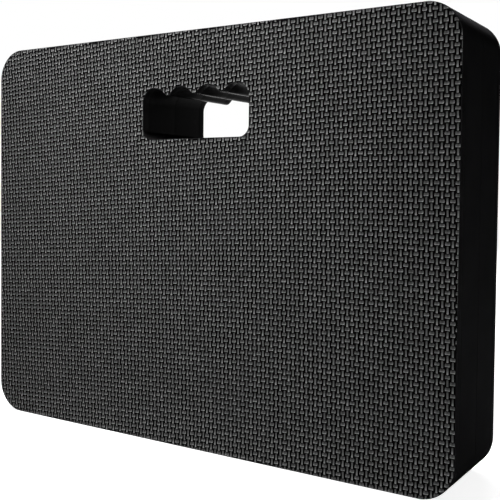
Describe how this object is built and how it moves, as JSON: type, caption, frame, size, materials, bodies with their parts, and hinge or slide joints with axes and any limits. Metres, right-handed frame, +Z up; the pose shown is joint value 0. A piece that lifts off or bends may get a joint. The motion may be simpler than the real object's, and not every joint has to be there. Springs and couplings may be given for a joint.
{
  "type": "kneeling pad",
  "caption": "Thick rectangular foam kneeling pad with rounded corners, woven embossed faces, smooth cut edges and a scalloped hand hold through its top.",
  "frame": {"origin": "on the ground under the middle of the pad, which stands on its long lower edge", "axes": "+X along the pad's width to the right as seen from the front face, +Y from the front face to the rear face, +Z up towards the hand hold"},
  "size_m": [0.37, 0.072, 0.28],
  "materials": {
    "weave_foam": "embossed basket weave, satin",
    "core_foam": "smooth die-cut closed-cell foam, matt",
    "bond_glue": "thin cut edge of a contact glue film"
  },
  "bodies": {
    "root": {"front_weave_sheet": "weave_foam", "front_bond_film": "bond_glue", "core_ply_front": "core_foam", "middle_bond_film": "bond_glue", "core_ply_rear": "core_foam", "rear_bond_film": "bond_glue", "rear_weave_sheet": "weave_foam"}
  },
  "joints": []
}
